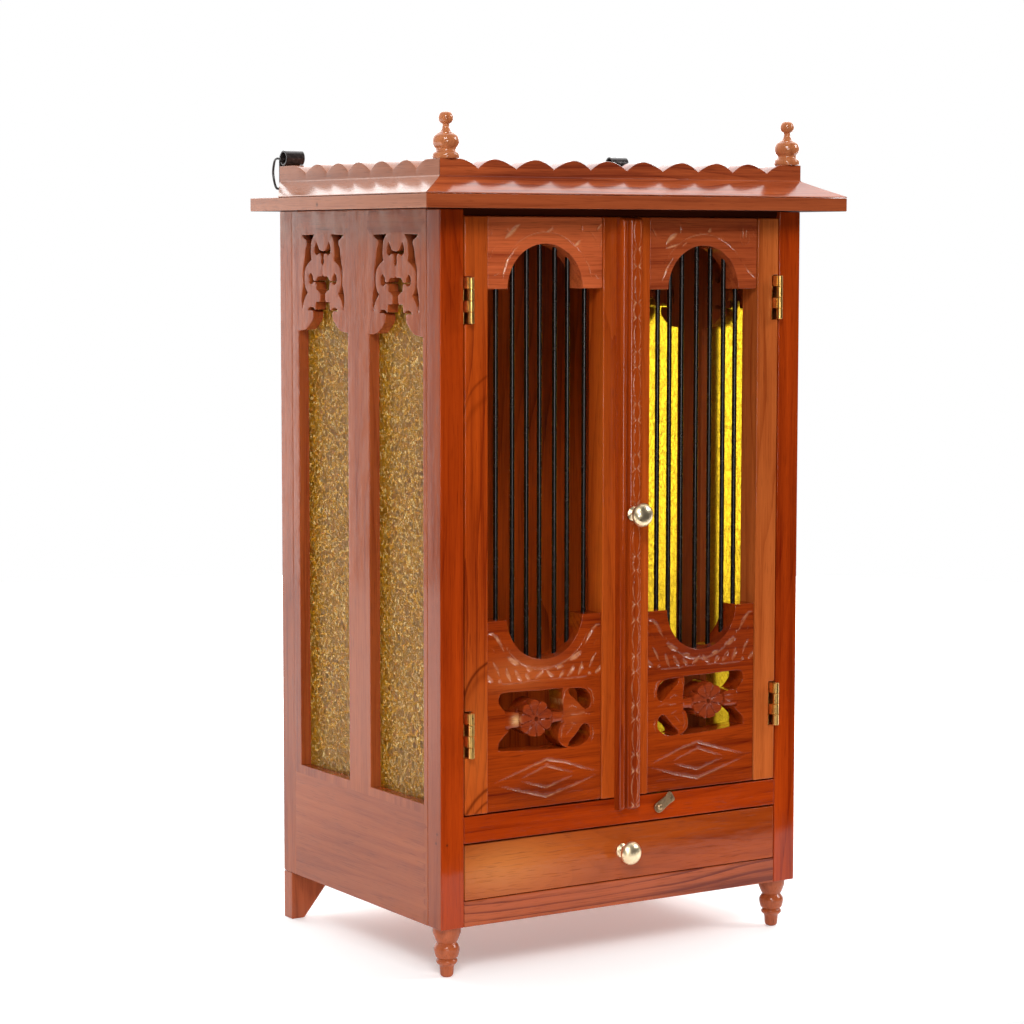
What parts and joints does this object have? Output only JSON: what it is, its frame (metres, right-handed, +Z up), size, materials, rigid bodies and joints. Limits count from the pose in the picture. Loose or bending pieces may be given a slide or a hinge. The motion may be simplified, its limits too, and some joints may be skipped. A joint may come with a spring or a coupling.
{
  "type": "household altar cabinet",
  "caption": "Small varnished wooden altar cabinet with grilled double doors, fretted glass sides, a drawer, a scalloped crown, finials and turned feet.",
  "frame": {"origin": "on the floor, under the middle of the box around the whole piece", "axes": "+Z up, the doors and the drawer face -Y, +X to the right of someone facing the doors"},
  "size_m": [0.4174, 0.3104, 0.7001],
  "materials": {
    "varnished_wood": "glossy red-brown varnish over tropical hardwood",
    "pale_wood": "lighter orange-brown wood, varnished on the front",
    "amber_glass": "amber pressed glass with a fine texture",
    "brass": "aged, polished where it is handled",
    "black_metal": "dark satin iron"
  },
  "bodies": {
    "cabinet": {"post_left": "varnished_wood", "post_right": "varnished_wood", "side_wall_left": "varnished_wood", "side_wall_right": "varnished_wood", "glass_left": "amber_glass", "glass_right": "amber_glass", "bottom_rail": "varnished_wood", "middle_rail": "varnished_wood", "drawer_board": "pale_wood", "floor_board": "varnished_wood", "back_panel": "varnished_wood", "rear_foot_board": "varnished_wood", "front_foot_left": "varnished_wood", "front_foot_right": "varnished_wood", "eave_board": "varnished_wood", "crown_front": "varnished_wood", "crown_left": "varnished_wood", "crown_right": "varnished_wood", "finial_left": "varnished_wood", "finial_right": "varnished_wood", "left_lower_hinge_post_leaf": "brass", "left_upper_hinge_post_leaf": "brass", "right_lower_hinge_post_leaf": "brass", "right_upper_hinge_post_leaf": "brass", "hanger_barrel_left": "black_metal", "hanger_barrel_right": "black_metal"},
    "left_door": {"left_door_outer_stile": "varnished_wood", "left_door_inner_stile": "varnished_wood", "left_door_arch_board": "varnished_wood", "left_door_lower_board": "varnished_wood", "left_door_rod_a": "black_metal", "left_door_rod_b": "black_metal", "left_door_rod_c": "black_metal", "left_door_rod_d": "black_metal", "left_door_rod_e": "black_metal", "left_door_rod_f": "black_metal", "left_door_rod_g": "black_metal", "left_lower_hinge_door_leaf": "brass", "left_upper_hinge_door_leaf": "brass"},
    "right_door": {"right_door_outer_stile": "varnished_wood", "right_door_inner_stile": "varnished_wood", "right_door_arch_board": "varnished_wood", "right_door_lower_board": "varnished_wood", "right_door_rod_a": "black_metal", "right_door_rod_b": "black_metal", "right_door_rod_c": "black_metal", "right_door_rod_d": "black_metal", "right_door_rod_e": "black_metal", "right_door_rod_f": "black_metal", "right_door_rod_g": "black_metal", "right_lower_hinge_door_leaf": "brass", "right_upper_hinge_door_leaf": "brass", "right_door_cover_strip": "varnished_wood", "right_door_knob": "brass"},
    "drawer": {"drawer_front": "pale_wood", "drawer_tray": "pale_wood", "drawer_knob": "brass"},
    "turn_button": {"turn_button": "brass"},
    "left_bail": {"hanger_bail_left": "black_metal"},
    "right_bail": {"hanger_bail_right": "black_metal"}
  },
  "joints": [
    {"name": "left_door_hinge", "type": "hinge", "parent": "cabinet", "child": "left_door", "pos_m": [-0.1544, -0.1306, 0.375], "axis": [0, 0, -1], "range_deg": [0, 180]},
    {"name": "right_door_hinge", "type": "hinge", "parent": "cabinet", "child": "right_door", "pos_m": [0.1544, -0.1306, 0.375], "axis": [0, 0, 1], "range_deg": [0, 180]},
    {"name": "drawer_slide", "type": "slide", "parent": "cabinet", "child": "drawer", "axis": [0, -1, 0], "range_m": [0, 0.18]},
    {"name": "turn_button_pivot", "type": "hinge", "parent": "cabinet", "child": "turn_button", "pos_m": [0.033, -0.1281, 0.1219], "axis": [0, -1, 0], "continuous": true},
    {"name": "left_bail_hinge", "type": "hinge", "parent": "cabinet", "child": "left_bail", "pos_m": [-0.1708, 0.1392, 0.6696], "axis": [1, 0, 0], "range_deg": [0, 255]},
    {"name": "right_bail_hinge", "type": "hinge", "parent": "cabinet", "child": "right_bail", "pos_m": [0.1708, 0.1392, 0.6696], "axis": [1, 0, 0], "range_deg": [0, 255]}
  ],
  "couplings": [
    {"joint": "left_door_hinge", "follows": "right_door_hinge", "ratio": 1}
  ]
}
